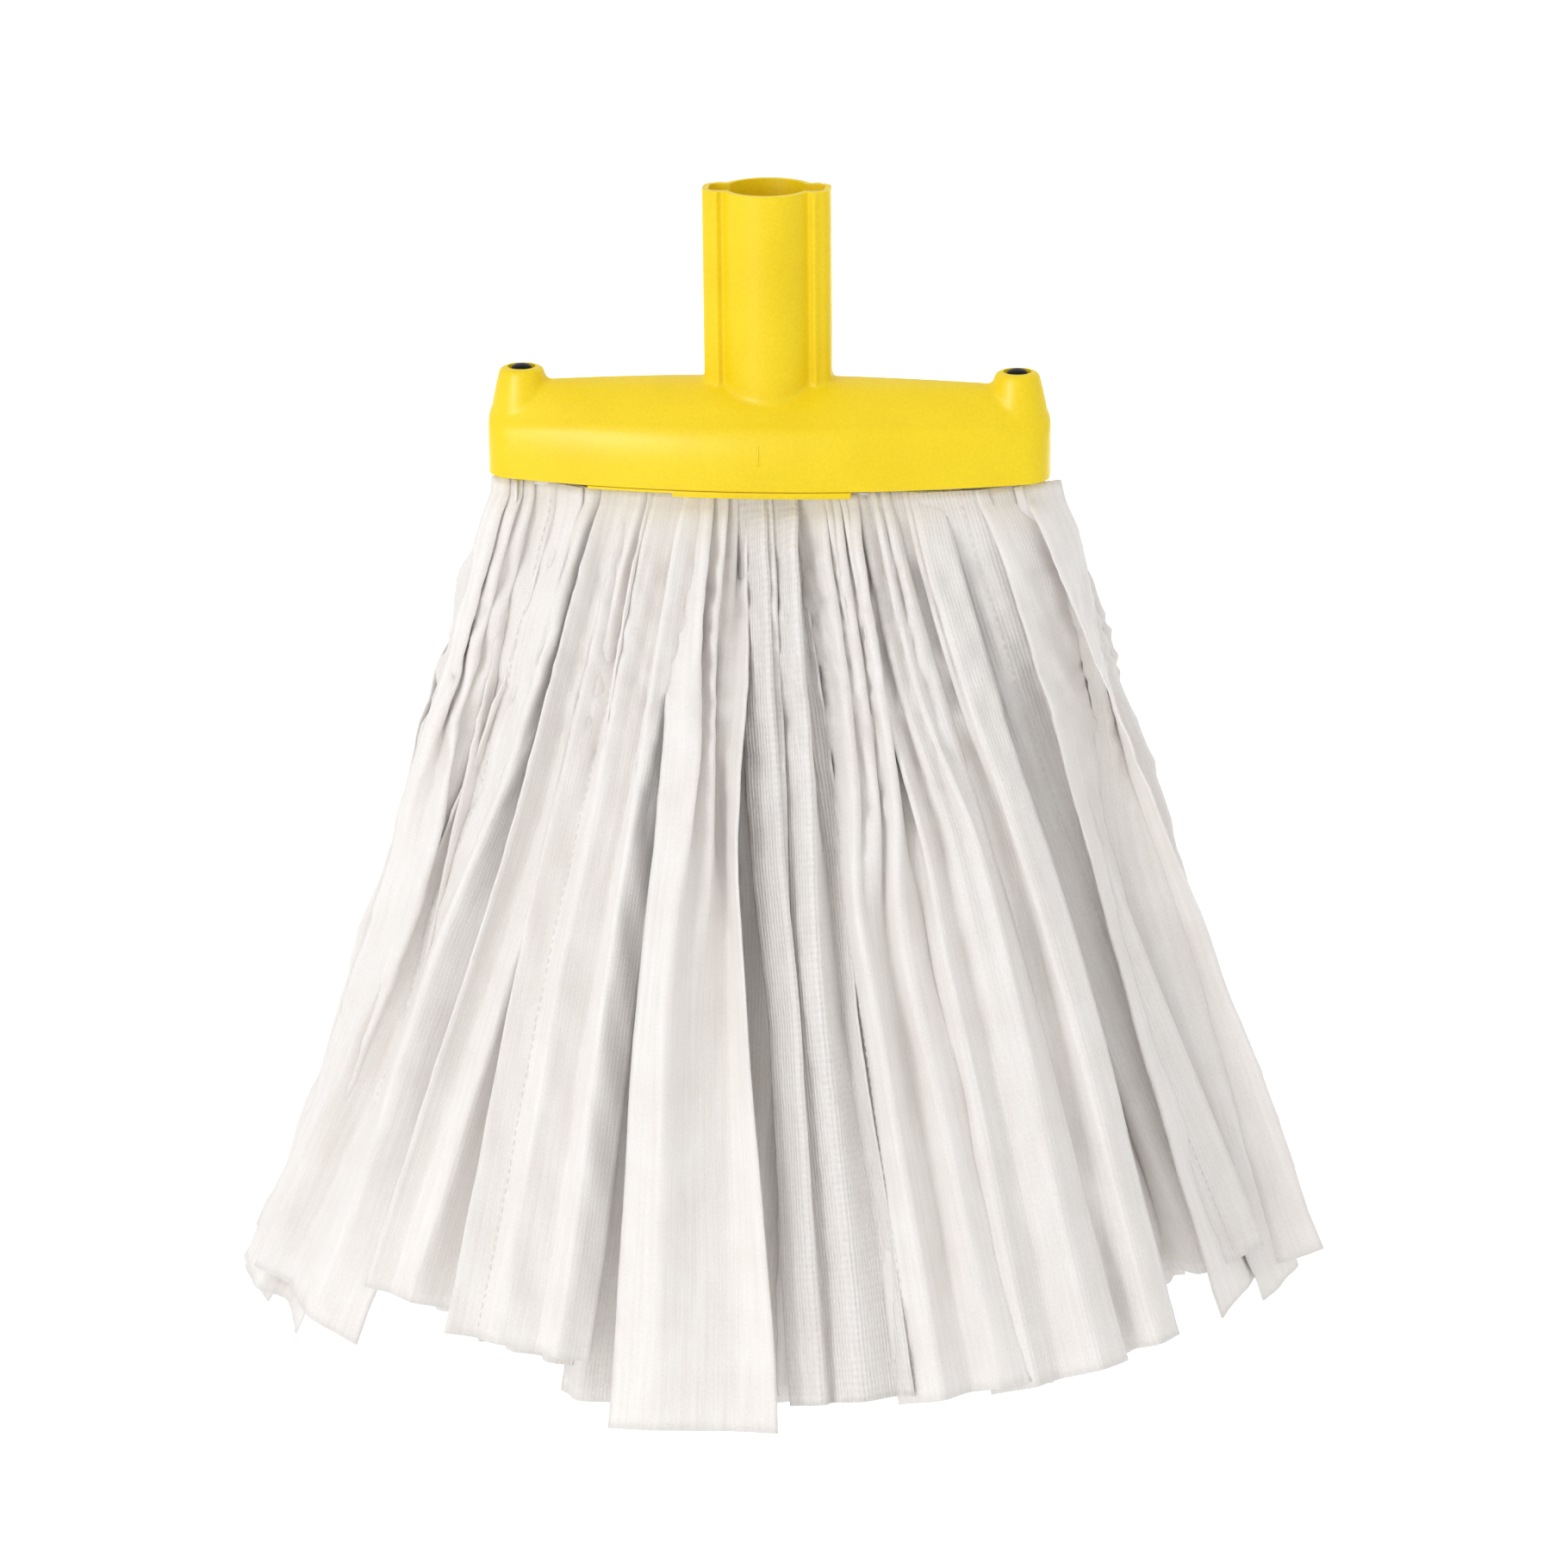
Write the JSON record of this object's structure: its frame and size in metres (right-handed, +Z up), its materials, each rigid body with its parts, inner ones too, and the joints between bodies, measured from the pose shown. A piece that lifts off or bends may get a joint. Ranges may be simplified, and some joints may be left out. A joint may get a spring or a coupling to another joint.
{
  "type": "socket mop head",
  "caption": "Mop head: a moulded boat-shaped head with an upright handle socket and a rivet post at each end, holding a fan of loose white nonwoven strips.",
  "frame": {"origin": "centre of the handle socket's mouth, in the plane of its rim", "axes": "+Z up out of the socket, against the way the handle goes in; +X along the head; -Y towards the front, the side with the clamp frame's tab"},
  "size_m": [0.3022, 0.1952, 0.32],
  "materials": {
    "head_plastic": "satin",
    "frame_plastic": "satin",
    "rivet_black": "satin",
    "washer_zinc": "satin",
    "strip_nonwoven": "matte",
    "core_nonwoven": "matte",
    "tape_cotton": "matte"
  },
  "bodies": {
    "head": {"head_moulding": "head_plastic", "clamp_frame": "frame_plastic", "left_rivet": "rivet_black", "right_rivet": "rivet_black", "left_washer": "washer_zinc", "right_washer": "washer_zinc", "strip_core": "core_nonwoven", "binding_tape": "tape_cotton"},
    "front_centre_strips": {"outer_strip_01": "strip_nonwoven", "outer_strip_02": "strip_nonwoven", "outer_strip_03": "strip_nonwoven", "inner_strip_01": "strip_nonwoven", "inner_strip_02": "strip_nonwoven", "inner_strip_03": "strip_nonwoven"},
    "front_right_strips": {"outer_strip_04": "strip_nonwoven", "outer_strip_05": "strip_nonwoven", "outer_strip_06": "strip_nonwoven", "inner_strip_04": "strip_nonwoven", "inner_strip_05": "strip_nonwoven"},
    "right_end_strips": {"outer_strip_07": "strip_nonwoven", "outer_strip_08": "strip_nonwoven", "outer_strip_09": "strip_nonwoven", "inner_strip_06": "strip_nonwoven", "inner_strip_07": "strip_nonwoven"},
    "back_right_strips": {"outer_strip_10": "strip_nonwoven", "outer_strip_11": "strip_nonwoven", "outer_strip_12": "strip_nonwoven", "inner_strip_08": "strip_nonwoven", "inner_strip_09": "strip_nonwoven"},
    "back_centre_strips": {"outer_strip_13": "strip_nonwoven", "outer_strip_14": "strip_nonwoven", "outer_strip_15": "strip_nonwoven", "inner_strip_10": "strip_nonwoven", "inner_strip_11": "strip_nonwoven", "inner_strip_12": "strip_nonwoven"},
    "back_left_strips": {"outer_strip_16": "strip_nonwoven", "outer_strip_17": "strip_nonwoven", "outer_strip_18": "strip_nonwoven", "inner_strip_13": "strip_nonwoven", "inner_strip_14": "strip_nonwoven"},
    "left_end_strips": {"outer_strip_19": "strip_nonwoven", "outer_strip_20": "strip_nonwoven", "outer_strip_21": "strip_nonwoven", "inner_strip_15": "strip_nonwoven", "inner_strip_16": "strip_nonwoven"},
    "front_left_strips": {"outer_strip_22": "strip_nonwoven", "outer_strip_23": "strip_nonwoven", "outer_strip_24": "strip_nonwoven", "inner_strip_17": "strip_nonwoven", "inner_strip_18": "strip_nonwoven"}
  },
  "joints": [
    {"name": "front_centre_swing", "type": "hinge", "parent": "head", "child": "front_centre_strips", "pos_m": [0, -0.0188, -0.08], "axis": [-1, 0, 0], "range_deg": [0, 35]},
    {"name": "front_right_swing", "type": "hinge", "parent": "head", "child": "front_right_strips", "pos_m": [0.0376, -0.01737, -0.08], "axis": [-0.9948, -0.1019, 0], "range_deg": [0, 35]},
    {"name": "right_end_swing", "type": "hinge", "parent": "head", "child": "right_end_strips", "pos_m": [0.0724, 0, -0.08], "axis": [0, -1, 0], "range_deg": [0, 35]},
    {"name": "back_right_swing", "type": "hinge", "parent": "head", "child": "back_right_strips", "pos_m": [0.0376, 0.01737, -0.08], "axis": [0.9948, -0.1019, 0], "range_deg": [0, 35]},
    {"name": "back_centre_swing", "type": "hinge", "parent": "head", "child": "back_centre_strips", "pos_m": [0, 0.0188, -0.08], "axis": [1, 0, 0], "range_deg": [0, 35]},
    {"name": "back_left_swing", "type": "hinge", "parent": "head", "child": "back_left_strips", "pos_m": [-0.0376, 0.01737, -0.08], "axis": [0.9948, 0.1019, 0], "range_deg": [0, 35]},
    {"name": "left_end_swing", "type": "hinge", "parent": "head", "child": "left_end_strips", "pos_m": [-0.0724, 0, -0.08], "axis": [0, 1, 0], "range_deg": [0, 35]},
    {"name": "front_left_swing", "type": "hinge", "parent": "head", "child": "front_left_strips", "pos_m": [-0.0376, -0.01737, -0.08], "axis": [-0.9948, 0.1019, 0], "range_deg": [0, 35]}
  ]
}
